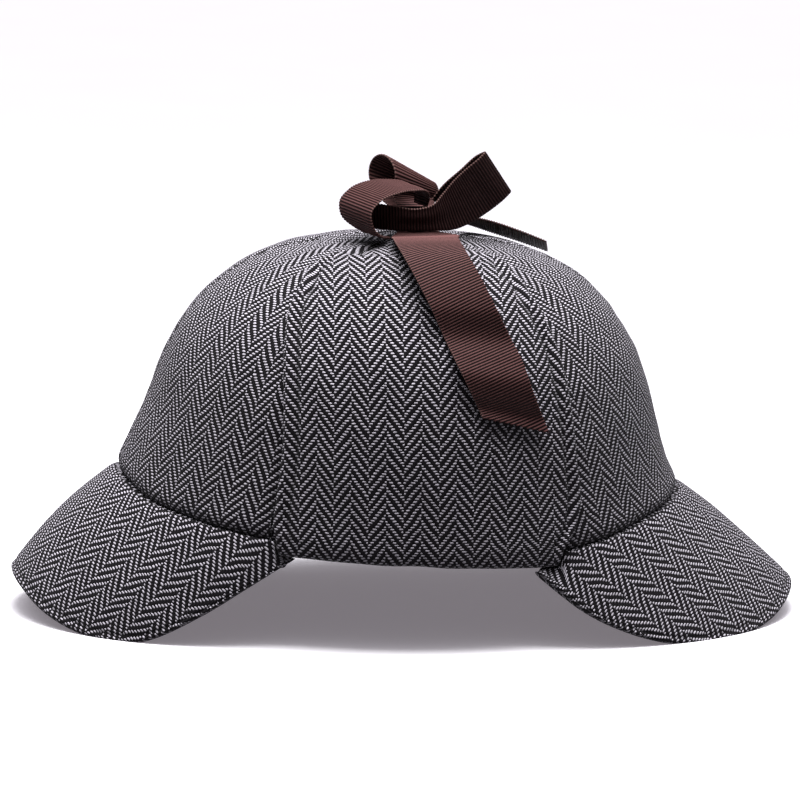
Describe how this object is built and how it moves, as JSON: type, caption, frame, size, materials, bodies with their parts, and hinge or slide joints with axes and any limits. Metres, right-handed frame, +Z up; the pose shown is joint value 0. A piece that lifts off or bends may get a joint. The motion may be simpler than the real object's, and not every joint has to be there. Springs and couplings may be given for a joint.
{
  "type": "deerstalker hat",
  "caption": "Herringbone tweed deerstalker: panelled crown, brims at front and back, and ear flaps turned up and tied over the top with a brown grosgrain bow.",
  "frame": {"origin": "on the resting surface, under the middle of the hat's whole box", "axes": "+X to the front brim, -Y to the wearer's right side, where the long tail lies, and +Z up"},
  "size_m": [0.289, 0.178, 0.1688],
  "materials": {
    "herringbone_tweed": "woven wool-look cloth, pale threads on near-black ones in broken zigzag stripes 6 mm wide",
    "brown_grosgrain_ribbon": "ribbed ribbon 22 mm wide, dull dark brown"
  },
  "bodies": {
    "root": {"crown_front_near": "herringbone_tweed", "crown_front_far": "herringbone_tweed", "crown_side_near": "herringbone_tweed", "crown_side_far": "herringbone_tweed", "crown_back_near": "herringbone_tweed", "crown_back_far": "herringbone_tweed", "brim_front": "herringbone_tweed", "brim_back": "herringbone_tweed", "ear_flap_near": "herringbone_tweed", "ear_flap_far": "herringbone_tweed", "ribbon_strap_near": "brown_grosgrain_ribbon", "ribbon_strap_far": "brown_grosgrain_ribbon", "bow_knot": "brown_grosgrain_ribbon", "bow_loop_left": "brown_grosgrain_ribbon", "bow_loop_back": "brown_grosgrain_ribbon", "bow_loop_right": "brown_grosgrain_ribbon", "ribbon_tail_near": "brown_grosgrain_ribbon", "ribbon_tail_far": "brown_grosgrain_ribbon"}
  },
  "joints": []
}
